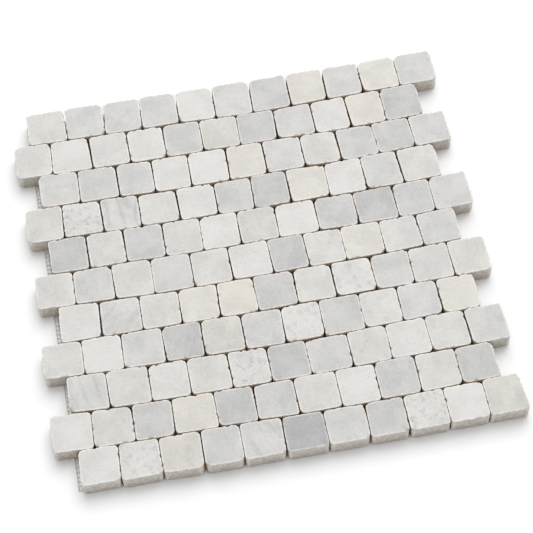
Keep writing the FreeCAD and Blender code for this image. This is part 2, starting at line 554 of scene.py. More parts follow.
def row_node(number: int) -> str:
    """Give the name of a row's CAD node."""
    return f"tile_row_{number:02d}"


def tile_outlines(node: bpy.types.Object) -> list[list[Vector]]:
    """Read the bed outline of each tile of a CAD row.

    Args:
        node: The row's CAD node, which is left as it is.

    Returns:
        The outlines from left to right, each anticlockwise seen from above.
    """
    work = bmesh.new()
    work.from_mesh(node.data)
    bmesh.ops.remove_doubles(work, verts=work.verts, dist=MERGE_DISTANCE)
    bmesh.ops.dissolve_limit(work, angle_limit=FLAT_ANGLE, verts=work.verts, edges=work.edges)
    beds = [face for face in work.faces if face.normal.z < DOWNWARD]
    outlines = [[vert.co.copy() for vert in reversed(face.verts)] for face in beds]
    work.free()
    return sorted(outlines, key=lambda outline: min(point.x for point in outline))


@dataclass
class SheetPlan:
    """Where the tiles of the whole sheet lie, read from the CAD rows.

    Attributes:
        outlines: The bed outlines of each row's tiles from left to right, by the row's number.
        spans: Left, right, front and back of every tile.
        probe: How far out of a wall a neighbour is looked for.
    """

    outlines: dict[int, list[list[Vector]]] = field(default_factory=dict)
    spans: list[tuple[float, float, float, float]] = field(default_factory=list)
    probe: float = 3.0 * MM

    def read(self, number: int) -> None:
        """Read the tiles of one row.

        Args:
            number: Number of the row.
        """
        self.outlines[number] = tile_outlines(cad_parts[row_node(number)])
        for outline in self.outlines[number]:
            across = [point.x for point in outline]
            along = [point.y for point in outline]
            self.spans.append((min(across), max(across), min(along), max(along)))

    def is_open(self, point: Vector, outward: Vector) -> bool:
        """Tell whether nothing faces a wall at a point.

        Args:
            point: Point on the wall.
            outward: Direction out of the wall.

        Returns:
            True where no tile stands within the probe's reach.
        """
        x, y = point.x + outward.x * self.probe, point.y + outward.y * self.probe
        return not any(left < x < right and front < y < back for left, right, front, back in self.spans)


def climbed(ring: Loop, fresh: set[bmesh.types.BMVert]) -> Loop:
    """Find the ring that has been extruded from another.

    Args:
        ring: The lower ring's vertices in order.
        fresh: The vertices that the extrusion made.

    Returns:
        The new ring's vertices in the same order.
    """
    return [next(above for above in (edge.other_vert(vert) for edge in vert.link_edges) if above in fresh)
            for vert in ring]


def finished(mesh: bmesh.types.BMesh, name: str) -> bpy.types.Object:
    """Turn a finished mesh into an object with smooth shading.

    Args:
        mesh: The mesh, which is freed.
        name: Name of the object.

    Returns:
        The object, linked to the scene.
    """
    for face in mesh.faces:
        face.smooth = True
    data = bpy.data.meshes.new(name)
    mesh.to_mesh(data)
    mesh.free()
    piece = bpy.data.objects.new(name, data)
    bpy.context.scene.collection.objects.link(piece)
    return piece


@dataclass
class TileRow:
    """One row of tumbled tiles, which stands for its CAD node.

    Attributes:
        number: Number of the row, from the back, from 1.
        plan: Where all the tiles lie.
        mixer: What chooses their stone.
        spacing: About how far apart the stations of an outline are.
        smoothing: How far each pass rounds the corners, from 0 to 1.
        passes: How many passes there are.
        sunk: Most that a face lies below the top of the CAD row.
        corner_wear_and_highlight: Share of crushed edge down the upright corners, which also paints their
            highlight.
        seed_step: Seeds that are set aside for each row.
        seed_span: Span that the tiles' own seeds are drawn from.
    """

    number: int
    plan: SheetPlan
    mixer: StoneMixer
    spacing: float = 0.75 * MM
    smoothing: float = 0.5
    passes: int = 3
    sunk: float = 0.25 * MM
    corner_wear_and_highlight: float = 0.75
    seed_step: int = 100
    seed_span: float = 10.0

    @property
    def node(self) -> str:
        """Give the name of the CAD node."""
        return row_node(self.number)

    def walk(self, start: bmesh.types.BMVert) -> Loop:
        """Follow a closed ring of wire edges.

        Args:
            start: Vertex to start from.

        Returns:
            The ring's vertices in anticlockwise order.
        """
        ring, edge = [start], start.link_edges[0]
        while (following := edge.other_vert(ring[-1])) is not start:
            ring.append(following)
            edge = next(link for link in following.link_edges if link is not edge)
        area = sum(a.co.x * b.co.y - b.co.x * a.co.y for a, b in zip(ring, ring[1:] + ring[:1]))
        return ring if area > 0.0 else ring[::-1]

    def draw_outlines(self, mesh: bmesh.types.BMesh) -> list[Loop]:
        """Draw the outlines of the row's tiles as fine rings with rounded corners.

        Args:
            mesh: Mesh to draw in.

        Returns:
            The vertices of each ring in anticlockwise order, from left to right.
        """
        starts = []
        by_cuts: dict[int, list[bmesh.types.BMEdge]] = {}
        for corners in self.plan.outlines[self.number]:
            verts = [mesh.verts.new(corner) for corner in corners]
            edges = [mesh.edges.new(pair) for pair in zip(verts, verts[1:] + verts[:1])]
            starts.append(edges[0])
            for edge in edges:
                by_cuts.setdefault(round(edge.calc_length() / self.spacing) - 1, []).append(edge)
        for cuts, edges in by_cuts.items():
            if cuts > 0:
                bmesh.ops.subdivide_edges(mesh, edges=edges, cuts=cuts)
        for _ in range(self.passes):
            bmesh.ops.smooth_vert(mesh, verts=mesh.verts, factor=self.smoothing,
                                  use_axis_x=True, use_axis_y=True)
        return [self.walk(edge.verts[0]) for edge in starts]

    def lay_tiles(self, mesh: bmesh.types.BMesh) -> list[TumbledTile]:
        """Draw the outline of each tile and choose its stone and wear.

        Args:
            mesh: Mesh of the row.

        Returns:
            The tiles, each at its first ring.
        """
        low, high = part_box(self.node)
        tiles = []
        for place, ring in enumerate(self.draw_outlines(mesh), start=1):
            dice = random.Random(self.number * self.seed_step + place)
            outline = Outline.measure(ring)
            open_air = [self.plan.is_open(*station) for station in zip(outline.points, outline.outward)]
            tiles.append(TumbledTile(
                ring=ring,
                outline=outline,
                chips=Chipping.draw(outline, open_air, dice),
                open_air=open_air,
                look=self.mixer.look(self.number, place),
                seed=dice.uniform(0.0, self.seed_span),
                bed=low[2],
                top=high[2] - dice.uniform(0.0, self.sunk),
            ))
        return tiles

    def mark(self, mesh: bmesh.types.BMesh, tile: TumbledTile) -> None:
        """Write a tile's own values to its first ring, from where each extrusion copies them.

        Args:
            mesh: Mesh of the row.
            tile: The tile.
        """
        layers, look = mesh.verts.layers, tile.look
        stone, seed, air = layers.float_color["stone"], layers.float["tile_seed"], layers.float["open_air"]
        for vert, is_open in zip(tile.ring, tile.open_air):
            vert[stone] = (look.greyness, look.warmth, look.flecks, look.bands)
            vert[seed] = tile.seed
            vert[air] = float(is_open)

    def shape(self, mesh: bmesh.types.BMesh, tiles: list[TumbledTile],
              level: Ring) -> list[bmesh.types.BMEdge]:
        """Put the present ring of every tile at its level.

        Args:
            mesh: Mesh of the row.
            tiles: The tiles.
            level: The rings' place in the section.

        Returns:
            The edges of the rings.
        """
        rim, wall = mesh.verts.layers.float["rim"], mesh.verts.layers.float["wall"]
        for tile in tiles:
            tile.place(level)
            for vert, corner in zip(tile.ring, tile.outline.corners):
                # Down the upright corners the edge share also paints a highlight on the corners.
                vert[rim] = max(level.rim, self.corner_wear_and_highlight * corner * level.wall)
                vert[wall] = level.wall
        return [edge for tile in tiles for edge in tile.edges(mesh)]

    def build(self) -> bpy.types.Object:
        """Build the row's mesh, all its tiles growing together.

        Returns:
            The row as one object, its tiles apart from each other.
        """
        mesh = bmesh.new()
        for name in ("rim", "wall", "open_air", "tile_seed"):
            mesh.verts.layers.float.new(name)
        mesh.verts.layers.float_color.new("stone")
        tiles = self.lay_tiles(mesh)
        for tile in tiles:
            self.mark(mesh, tile)
        bed_edges = edges = self.shape(mesh, tiles, SECTION[0])
        for level in SECTION[1:]:
            made = bmesh.ops.extrude_edge_only(mesh, edges=edges)["geom"]
            fresh = {item for item in made if isinstance(item, bmesh.types.BMVert)}
            for tile in tiles:
                tile.ring = climbed(tile.ring, fresh)
            edges = self.shape(mesh, tiles, level)
        bmesh.ops.edgeloop_fill(mesh, edges=bed_edges)
        bmesh.ops.edgeloop_fill(mesh, edges=edges)
        bmesh.ops.recalc_face_normals(mesh, faces=mesh.faces)
        return finished(mesh, f"marble_row_{self.number:02d}")


@dataclass
class Threads:
    """The parallel threads of one direction of the net.

    Attributes:
        starts: Where each thread starts.
        travel: From there to its end.
        width: Width of a thread.
        height: Height of a thread.
        sides: Sides of its section.
        run: About how long each straight run is.
        fewest_runs: Fewest runs of a thread.
        stray: How far it strays to the side between two runs.
    """

    starts: list[Vector]
    travel: Vector
    width: float
    height: float
    sides: int = 6
    run: float = 7.0 * MM
    fewest_runs: int = 2
    stray: float = 0.12 * MM

    def begin(self, mesh: bmesh.types.BMesh) -> list[Loop]:
        """Make the first ring of each thread, a flattened circle across it.

        Args:
            mesh: Mesh of the net.

        Returns:
            The vertices of each ring.
        """
        along = self.travel.normalized()
        side = Vector((along.y, -along.x, 0.0))
        turn = Matrix((side, Vector((0.0, 0.0, 1.0)), -along)).transposed().to_4x4()
        flatten = Matrix.Diagonal((self.width / 2, self.height / 2, 1.0, 1.0))
        return [bmesh.ops.create_circle(mesh, cap_ends=False, segments=self.sides, radius=1.0,
                                        matrix=Matrix.Translation(start) @ turn @ flatten)["verts"]
                for start in self.starts]

    def grow(self, mesh: bmesh.types.BMesh, rings: list[Loop], dice: random.Random) -> None:
        """Extrude the threads to their full length, slightly wavy, and close their ends.

        Args:
            mesh: Mesh of the net.
            rings: First ring of each thread.
            dice: Source of the waviness.
        """
        side = Vector((self.travel.y, -self.travel.x, 0.0)).normalized()
        homes = [[vert.co.copy() for vert in ring] for ring in rings]
        first = edges = list({edge for ring in rings for vert in ring for edge in vert.link_edges})
        runs = max(self.fewest_runs, round(self.travel.length / self.run))
        for number in range(1, runs + 1):
            made = bmesh.ops.extrude_edge_only(mesh, edges=edges)["geom"]
            fresh = {item for item in made if isinstance(item, bmesh.types.BMVert)}
            edges = [item for item in made
                     if isinstance(item, bmesh.types.BMEdge) and fresh.issuperset(item.verts)]
            rings = [climbed(ring, fresh) for ring in rings]
            for ring, home in zip(rings, homes):
                wave = side * dice.uniform(-self.stray, self.stray) if number < runs else Vector()
                for vert, point in zip(ring, home):
                    vert.co = point + self.travel * (number / runs) + wave
        bmesh.ops.edgeloop_fill(mesh, edges=first)
        bmesh.ops.edgeloop_fill(mesh, edges=edges)


@dataclass
class BackingNet:
    """The glass-fibre net under the tiles, thread by thread.

    Attributes:
        mesh_width: Step between the threads that run from front to back.
        mesh_length: Step between the cross threads.
        thread_width: Width of a thread.
        thread_height: Height of a thread.
        seed: Seed of the waviness.
    """

    mesh_width: float = 2.2 * MM
    mesh_length: float = 3.2 * MM
    thread_width: float = 0.8 * MM
    thread_height: float = 0.32 * MM
    seed: int = 5

    def places(self, low: float, high: float, step: float) -> list[float]:
        """Space the threads from one side of the net to the other.

        Args:
            low: Where the net begins.
            high: Where it ends.
            step: Step from thread to thread.

        Returns:
            The middles of the threads.
        """
        count = int((high - low - self.thread_width) / step) + 1
        return [low + self.thread_width / 2 + number * step for number in range(count)]

    def build(self) -> bpy.types.Object:
        """Build the net in the space of its CAD node, the cross threads on top.

        Returns:
            The net as one object.
        """
        low, high = (Vector(corner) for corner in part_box(NET_NODE))
        size = high - low
        lower, upper = low.z + self.thread_height / 2, high.z - self.thread_height / 2
        lengthwise = [Vector((x, low.y, lower)) for x in self.places(low.x, high.x, self.mesh_width)]
        crosswise = [Vector((low.x, y, upper)) for y in self.places(low.y, high.y, self.mesh_length)]
        directions = [
            Threads(lengthwise, Vector((0.0, size.y, 0.0)), self.thread_width, self.thread_height),
            Threads(crosswise, Vector((size.x, 0.0, 0.0)), self.thread_width, self.thread_height),
        ]
        mesh = bmesh.new()
        dice = random.Random(self.seed)
        begun = [threads.begin(mesh) for threads in directions]
        for threads, rings in zip(directions, begun):
            threads.grow(mesh, rings, dice)
        bmesh.ops.recalc_face_normals(mesh, faces=mesh.faces)
        return finished(mesh, "net_threads")


@dataclass(frozen=True)
class Ramp:
    """A stretch of one value that becomes a stretch of another.

    Attributes:
        low: Where the stretch starts.
        high: Where it ends.
        to_low: Result at its start.
        to_high: Result at its end.
        eased: Whether its ends are eased.
    """

    low: float
    high: float
    to_low: float = 0.0
    to_high: float = 1.0
    eased: bool = True


@dataclass(frozen=True)
class Lumps:
    """What a noise is like.

    Attributes:
        size: Size of a lump in metres.
        detail: How many finer layers it has.
        roughness: How strong they are.
        distortion: How far it is bent.
    """

    size: float = 1.0 * MM
    detail: float = 3.0
    roughness: float = 0.5
    distortion: float = 0.0


@dataclass(frozen=True)
class Mark:
    """One kind of small mark in the stone.

    Attributes:
        size: Size of a mark in metres.
        bareness: How bare the stone is of them, from 0 to 1.
        strength: How strongly they show, from 0 to 1.
        colour: Their colour.
    """

    size: float
    bareness: float
    strength: float
    colour: Colour


class NodeBench:
    """Adds and joins shader nodes in one tree."""

    def __init__(self, tree: bpy.types.NodeTree) -> None:
        """Take a tree to work in.

        Args:
            tree: The tree.
        """
        self.tree = tree

    def feed(self, socket: Socket, value: object) -> None:
        """Set a socket to a value or join it to another socket.

        Args:
            socket: Socket to feed.
            value: A plain value or an output socket.
        """
        if isinstance(value, Socket):
            self.tree.links.new(value, socket)
        else:
            socket.default_value = value

    def add(self, kind: str, inputs: dict[object, object] | None = None,
            **settings: object) -> bpy.types.Node:
        """Add a node.

        Args:
            kind: The node's type name.
            inputs: Values or sockets for its inputs, by name or number.
            settings: The node's own settings.

        Returns:
            The node.
        """
        node = self.tree.nodes.new(kind)
        for name, value in settings.items():
            setattr(node, name, value)
        for name, value in (inputs or {}).items():
            self.feed(node.inputs[name], value)
        return node

    def math(self, operation: str, first: object, second: object = 0.0) -> Socket:
        """Work out a number and give its socket."""
        return self.add("ShaderNodeMath", {0: first, 1: second}, operation=operation).outputs[0]

    def vector(self, operation: str, first: object, second: object) -> Socket:
        """Work out a vector and give its socket."""
        return self.add("ShaderNodeVectorMath", {0: first, 1: second}, operation=operation).outputs[0]

    def ramp(self, value: object, ramp: Ramp) -> Socket:
        """Map a value by a ramp.

        Args:
            value: A plain value or a socket.
            ramp: The ramp.

        Returns:
            Socket of the result.
        """
        inputs = {0: value, 1: ramp.low, 2: ramp.high, 3: ramp.to_low, 4: ramp.to_high}
        kind = "SMOOTHSTEP" if ramp.eased else "LINEAR"
        return self.add("ShaderNodeMapRange", inputs, interpolation_type=kind).outputs[0]

    def noise(self, vector: object, lumps: Lumps, size: Socket | None = None) -> Socket:
        """Make noise whose lumps are of a real size.

        Args:
            vector: Coordinates in metres.
            lumps: What the noise is like.
            size: Socket that gives the lumps' size in place of their own.

        Returns:
            The noise's value, about 0.5 on average.
        """
        inputs = {
            "Vector": vector,
            "Scale": 1.0 / lumps.size if size is None else self.math("DIVIDE", 1.0, size),
            "Detail": lumps.detail,
            "Roughness": lumps.roughness,
            "Distortion": lumps.distortion,
        }
        return self.add("ShaderNodeTexNoise", inputs).outputs[0]

    def mix(self, share: object, first: object, second: object, blend: str = "MIX") -> Socket:
        """Mix two colours and give the result's socket."""
        inputs = {0: share, 6: first, 7: second}
        return self.add("ShaderNodeMix", inputs, data_type="RGBA", blend_type=blend).outputs[2]

    def tint(self, share: object, colour: object, over: Colour) -> Socket:
        """Lay a plain colour over another and give the result's socket."""
        return self.mix(share, colour, linear(over))

    def place(self) -> Socket:
        """Give the place on the piece, in metres."""
        return self.add("ShaderNodeTexCoord").outputs["Object"]

    def level(self, vector: object) -> Socket:
        """Give the height of a place."""
        return self.add("ShaderNodeSeparateXYZ", {0: vector}).outputs[2]

    def attribute(self, name: str) -> bpy.types.Node:
        """Read an attribute of the mesh."""
        return self.add("ShaderNodeAttribute", attribute_name=name, attribute_type="GEOMETRY")

    def seen(self) -> Socket:
        """Tell the rays that show the background, straight or in gloss or glass, from those that light.

        Returns:
            Socket of 1 for the rays that show it and 0 for the others.
        """
        rays = self.add("ShaderNodeLightPath").outputs
        passed_on = self.math("MAXIMUM", rays["Is Glossy Ray"], rays["Is Transmission Ray"])
        return self.math("MAXIMUM", rays["Is Camera Ray"], passed_on)


def blank_material(name: str) -> tuple[bpy.types.Material, NodeBench, bpy.types.Node]:
    """Make a material to work on.

    Args:
        name: Name of the material.

    Returns:
        The material, a bench for its nodes and its shader.
    """
    material = bpy.data.materials.new(name)
    material.use_nodes = True
    return material, NodeBench(material.node_tree), material.node_tree.nodes["Principled BSDF"]


class Effect:
    """A shader node group with named inputs and outputs, built once."""

    def __init__(self, name: str, inputs: dict[str, str], outputs: dict[str, str]) -> None:
        """Make the group's sockets.

        Args:
            name: Name of the group.
            inputs: Socket types of its inputs, by name.
            outputs: Socket types of its outputs, by name.
        """
        self.tree = bpy.data.node_groups.new(name, "ShaderNodeTree")
        for direction, sockets in (("INPUT", inputs), ("OUTPUT", outputs)):
            for label, kind in sockets.items():
                self.tree.interface.new_socket(label, in_out=direction, socket_type=kind)
        self.bench = NodeBench(self.tree)
        self.entry = self.bench.add("NodeGroupInput").outputs
        self.exit = self.bench.add("NodeGroupOutput").inputs

    def use(self, bench: NodeBench, inputs: dict[str, object]) -> bpy.types.Node:
        """Place the effect in a material.

        Args:
            bench: Bench of the material.
            inputs: Values or sockets for its inputs.

        Returns:
            The group node.
        """
        node = bench.add("ShaderNodeGroup", node_tree=self.tree)
        for name, value in inputs.items():
            bench.feed(node.inputs[name], value)
        return node


MOTTLING: dict[str, Lumps] = {
    "Cloud": Lumps(detail=3.0, roughness=0.45, distortion=0.4),
    "Grain": Lumps(detail=3.0, roughness=0.65, distortion=0.4),
}
FLECKS = Lumps(detail=2.0, roughness=0.6, distortion=0.6)
FLECK_EDGE = 0.15
# Unevenness of the low mask, which paints shade at the foot of the tile walls and lays dust on the net.
DUST_AND_SHADE_BREAKS = Lumps(3.0 * MM)
DUST_AND_SHADE_UNEVENNESS = 1.2
DUST_AND_SHADE_THINNING = Ramp(0.0, 1.0, 1.0, 0.0)


def mottle_effect() -> Effect:
    """Make soft cloudy mottling: a slow cloud with finer grain in it.

    Returns:
        The effect, with masks of about 0.5 on average.
    """
    masks = {name: FLOAT for name in MOTTLING}
    effect = Effect("Mottle", {"Vector": VECTOR, **masks}, masks)
    for name, lumps in MOTTLING.items():
        mask = effect.bench.noise(effect.entry["Vector"], lumps, size=effect.entry[name])
        effect.bench.feed(effect.exit[name], mask)
    return effect


def fleck_effect() -> Effect:
    """Make scattered flecks with soft edges.

    Returns:
        The effect, with a mask of 1 in a fleck.
    """
    effect = Effect("Flecks", {"Vector": VECTOR, "Size": FLOAT, "Bareness": FLOAT}, {"Mask": FLOAT})
    bench, entry = effect.bench, effect.entry
    lumps = bench.noise(entry["Vector"], FLECKS, size=entry["Size"])
    full = bench.math("ADD", entry["Bareness"], FLECK_EDGE)
    mask = bench.add("ShaderNodeMapRange", {0: lumps, 1: entry["Bareness"], 2: full},
                     interpolation_type="SMOOTHSTEP")
    bench.feed(effect.exit["Mask"], mask.outputs[0])
    return effect


def dust_and_shade_effect() -> Effect:
    """Make a mask that is strong low down and thins unevenly towards a height: on the tile walls it paints
    shade at their foot, on the net it lays dust.

    Returns:
        The effect, with a mask of 1 where it is strongest.
    """
    effect = Effect("Dust_and_shade", {"Vector": VECTOR, "Height": FLOAT}, {"Mask": FLOAT})
    bench, entry = effect.bench, effect.entry
    share = bench.math("DIVIDE", bench.level(entry["Vector"]), entry["Height"])
    broken = bench.math("SUBTRACT", bench.noise(entry["Vector"], DUST_AND_SHADE_BREAKS), 0.5)
    edge = bench.math("ADD", share, bench.math("MULTIPLY", broken, DUST_AND_SHADE_UNEVENNESS))
    bench.feed(effect.exit["Mask"], bench.ramp(edge, DUST_AND_SHADE_THINNING))
    return effect


@dataclass(frozen=True)
class TileSockets:
    """What the marble reads from a row's mesh.

    Attributes:
        place: Place on the sheet.
        own: The same place shifted by the tile's seed, for a noise of its own.
        turned: That place turned by an angle of the tile's own.
        greyness: Greyness of the tile's stone.
        warmth: Its warmth.
        flecks: How flecked it is.
        bands: How banded it is.
        rim: Share of crushed edge, whose pale tint is partly a painted highlight.
        wall: Share of wall.
        outside: 1 where nothing faces the wall.
    """

    place: Socket
    own: Socket
    turned: Socket
    greyness: Socket
    warmth: Socket
    flecks: Socket
    bands: Socket
    rim: Socket
    wall: Socket
    outside: Socket

    @classmethod
    def read(cls, bench: NodeBench, turn: float) -> "TileSockets":
        """Read the tile's values.

        Args:
            bench: Bench of the material.
            turn: Angle that each tile is turned by for 1 of its seed.

        Returns:
            Their sockets.
        """
        place = bench.place()
        seed = bench.attribute("tile_seed").outputs["Fac"]
        slant = bench.math("MULTIPLY", seed, SEED_SLANT)
        shift = bench.add("ShaderNodeCombineXYZ", {0: seed, 1: slant}).outputs[0]
        own = bench.vector("ADD", place, shift)
        turning = {"Vector": own, "Angle": bench.math("MULTIPLY", seed, turn)}
        stone = bench.attribute("stone").outputs
        parts = bench.add("ShaderNodeSeparateColor", {0: stone["Color"]}).outputs
        return cls(
            place=place,
            own=own,
            turned=bench.add("ShaderNodeVectorRotate", turning, rotation_type="Z_AXIS").outputs[0],
            greyness=parts[0],
            warmth=parts[1],
            flecks=parts[2],
            bands=stone["Alpha"],
            rim=bench.attribute("rim").outputs["Fac"],
            wall=bench.attribute("wall").outputs["Fac"],
            outside=bench.attribute("open_air").outputs["Fac"],
        )


@dataclass(frozen=True)
class MarbleFinish:
    """Tumbled marble: matt faces of many tones, pale crushed edges that are partly a painted highlight, and
    rough dusty walls with painted shade at their foot and deep in the joints.

    A tone of 0 is the white of the stone and a tone of 1 its grey.
    """

    name: str = "tumbled_marble"
    slot: str = "tumbled_marble"
    tile_turn: float = 2.3

    white: Colour = (0.822, 0.816, 0.802)
    grey: Colour = (0.622, 0.625, 0.628)
    warm_tint: Colour = (1.000, 0.978, 0.925)
    wall: Colour = (0.828, 0.808, 0.774)
    # Tint of the dust patches on the walls, also used for the painted shade at their foot.
    dusty_and_shade: Colour = (0.590, 0.545, 0.487)
    # Darkest colour in the joints: brown dirt with painted shade deep in the joint.
    dirt_and_shade: Colour = (0.425, 0.338, 0.240)

    cloud_size: float = 17.0 * MM
    cloud_tone: Ramp = Ramp(0.30, 0.70, -0.085, 0.085)
    grain_size: float = 1.1 * MM
    grain_tone: Ramp = Ramp(0.30, 0.70, -0.13, 0.13)
    band: Lumps = Lumps(8.0 * MM, detail=2.0, roughness=0.5, distortion=0.6)
    band_stretch: tuple[float, float, float] = (0.35, 1.6, 1.0)
    band_share: Ramp = Ramp(0.45, 0.70)
    band_tone: float = 0.36
    stain: Lumps = Lumps(4.2 * MM, detail=2.0, roughness=0.4)
    stain_tone: Ramp = Ramp(0.50, 0.72, 0.0, 0.32)
    least_stained: float = 0.10
    whole_tone: Ramp = Ramp(0.0, 1.0, eased=False)

    fleck: Mark = Mark(2.3 * MM, bareness=0.54, strength=0.55, colour=(0.550, 0.545, 0.535))
    gathering: Lumps = Lumps(7.0 * MM, detail=1.0)
    gathered: Ramp = Ramp(0.42, 0.62)
    spot: Mark = Mark(2.4 * MM, bareness=0.63, strength=0.40, colour=(0.650, 0.620, 0.575))
    least_spotted: float = 0.25
    crystal: Mark = Mark(0.9 * MM, bareness=0.64, strength=0.42, colour=CRUSHED_AND_HIGHLIGHT)
    pit: Mark = Mark(1.2 * MM, bareness=0.57, strength=0.65, colour=GRIME)
    pitted: Ramp = Ramp(0.10, 0.50)

    # Break-up and strength of the pale edge on the face and the walls: crushed stone with a painted
    # highlight.
    rim_breakup: Lumps = Lumps(1.6 * MM, detail=2.0)
    crushed_and_highlight: Ramp = Ramp(0.35, 0.60, 0.35, 1.0)
    face_crushed_and_highlight: float = 0.85
    wall_crushed_and_highlight: float = 0.62

    patches: Lumps = Lumps(2.4 * MM, detail=5.0, roughness=0.72)
    patched: Ramp = Ramp(0.40, 0.66, 0.0, 0.50)
    # Painted shade at the foot of the walls: its height and strength.
    dust_and_shade_height: float = 11.0 * MM
    dust_and_shade_share: float = 0.54
    # In the joints the soil turns from tan to dark brown deeper down, a real stain with painted shade in the
    # depth, and covers more of the wall low down.
    dirt_and_shade_to_grime: Ramp = Ramp(3.0 * MM, 12.0 * MM)
    joint_soil_and_shade: Ramp = Ramp(9.0 * MM, 13.0 * MM, 0.95, 0.48)

    face_roughness: Ramp = Ramp(0.30, 0.70, 0.45, 0.56)
    wall_roughness: float = 0.88
    pores: Lumps = Lumps(1.3 * MM, detail=4.0, roughness=0.65)
    pore_depth: Ramp = Ramp(0.0, 1.0, 0.10, 1.0, eased=False)
    bump_strength: float = 0.9
    bump_depth: float = 0.8 * MM

    def stone_colour(self, bench: NodeBench, tile: TileSockets, cloud: Socket, grain: Socket) -> Socket:
        """Colour the stone itself: its kind's tone with clouds, grain, bands and stains.

        Args:
            bench: Bench of the material.
            tile: The tile's values.
            cloud: The mottling's cloud.
            grain: The mottling's grain.

        Returns:
            The colour.
        """
        band = bench.noise(bench.vector("MULTIPLY", tile.turned, self.band_stretch), self.band)
        banding = bench.math("MULTIPLY", tile.bands, self.band_tone)
        streak = bench.math("MULTIPLY", bench.ramp(band, self.band_share), banding)
        staining = bench.math("ADD", tile.flecks, self.least_stained)
        stain = bench.ramp(bench.noise(tile.turned, self.stain), self.stain_tone)
        stain = bench.math("MULTIPLY", stain, staining)
        tone = bench.math("ADD", tile.greyness, bench.ramp(cloud, self.cloud_tone))
        tone = bench.math("ADD", tone, bench.math("ADD", streak, stain))
        tone = bench.math("ADD", tone, bench.ramp(grain, self.grain_tone))
        colour = bench.mix(bench.ramp(tone, self.whole_tone), linear(self.white), linear(self.grey))
        return bench.mix(tile.warmth, colour, linear(self.warm_tint), blend="MULTIPLY")

    def scatter(self, bench: NodeBench, flecks: Effect, mark: Mark, place: Socket) -> Socket:
        """Scatter one kind of mark.

        Args:
            bench: Bench of the material.
            flecks: The fleck effect.
            mark: The kind.
            place: Coordinates to scatter it over.

        Returns:
            Its mask.
        """
        inputs = {"Vector": place, "Size": mark.size, "Bareness": mark.bareness}
        return flecks.use(bench, inputs).outputs["Mask"]

    def marked(self, bench: NodeBench, tile: TileSockets, flecks: Effect, colour: Socket) -> Socket:
        """Lay flecks, spots and crystals over the stone.

        Args:
            bench: Bench of the material.
            tile: The tile's values.
            flecks: The fleck effect.
            colour: Colour of the stone.

        Returns:
            The colour.
        """
        fleck = self.scatter(bench, flecks, self.fleck, tile.own)
        gathered = bench.ramp(bench.noise(tile.own, self.gathering), self.gathered)
        strength = bench.math("MULTIPLY", tile.flecks, self.fleck.strength)
        fleck = bench.math("MULTIPLY", bench.math("MULTIPLY", fleck, gathered), strength)
        colour = bench.tint(fleck, colour, self.fleck.colour)
        spot = self.scatter(bench, flecks, self.spot, tile.turned)
        strength = bench.math("MULTIPLY", tile.flecks, self.spot.strength)
        spot = bench.math("MULTIPLY", spot, bench.math("ADD", strength, self.least_spotted))
        colour = bench.tint(spot, colour, self.spot.colour)
        crystal = self.scatter(bench, flecks, self.crystal, tile.turned)
        return bench.tint(bench.math("MULTIPLY", crystal, self.crystal.strength), colour, self.crystal.colour)

    def wall_colour(self, bench: NodeBench, tile: TileSockets, dust_and_shade: Effect, crushed_and_highlight: Socket) -> Socket:
        """Colour the walls: patchy and dusty, with painted shade darkening their foot, pale along the top and
        down the corners where nothing faces them from wear and a painted highlight, and soiled in the joints
        with painted shade deep in them.

        Args:
            bench: Bench of the material.
            tile: The tile's values.
            dust_and_shade: The effect that paints shade at the foot of the walls.
            crushed_and_highlight: Share of crushed stone, partly a painted highlight.

        Returns:
            The colour.
        """
        patches = bench.ramp(bench.noise(tile.own, self.patches), self.patched)
        colour = bench.tint(patches, linear(self.wall), self.dusty_and_shade)
        # Painted shade: the walls darken towards their foot, in the tint of the dust patches.
        low_shade = dust_and_shade.use(bench, {"Vector": tile.place, "Height": self.dust_and_shade_height}).outputs["Mask"]
        colour = bench.tint(bench.math("MULTIPLY", low_shade, self.dust_and_shade_share), colour, self.dusty_and_shade)
        # Walls that nothing faces turn pale along their top and down their corners: partly rubbed wear,
        # partly a painted highlight.
        rubbed_and_highlight = bench.math("MULTIPLY", crushed_and_highlight, tile.outside)
        colour = bench.tint(bench.math("MULTIPLY", rubbed_and_highlight, self.wall_crushed_and_highlight), colour, CRUSHED_AND_HIGHLIGHT)
        # In the joints the walls take a tan stain that turns dark brown towards the bottom: real soil, with
        # painted shade deep in the joint.
        level = bench.level(tile.place)
        soil_and_shade = bench.tint(bench.ramp(level, self.dirt_and_shade_to_grime), linear(self.dirt_and_shade), GRIME)
        in_joint = bench.math("SUBTRACT", 1.0, tile.outside)
        return bench.mix(bench.math("MULTIPLY", bench.ramp(level, self.joint_soil_and_shade), in_joint), colour, soil_and_shade)

    def make(self, mottle: Effect, flecks: Effect, dust_and_shade: Effect) -> bpy.types.Material:
        """Build the material.

        Args:
            mottle: The mottling effect.
            flecks: The fleck effect.
            dust_and_shade: The effect that paints shade at the foot of the walls.

        Returns:
            The material.
        """
        material, bench, shader = blank_material(self.name)
        tile = TileSockets.read(bench, self.tile_turn)
        sizes = {"Cloud": self.cloud_size, "Grain": self.grain_size}
        mottled = mottle.use(bench, {"Vector": tile.own, **sizes}).outputs

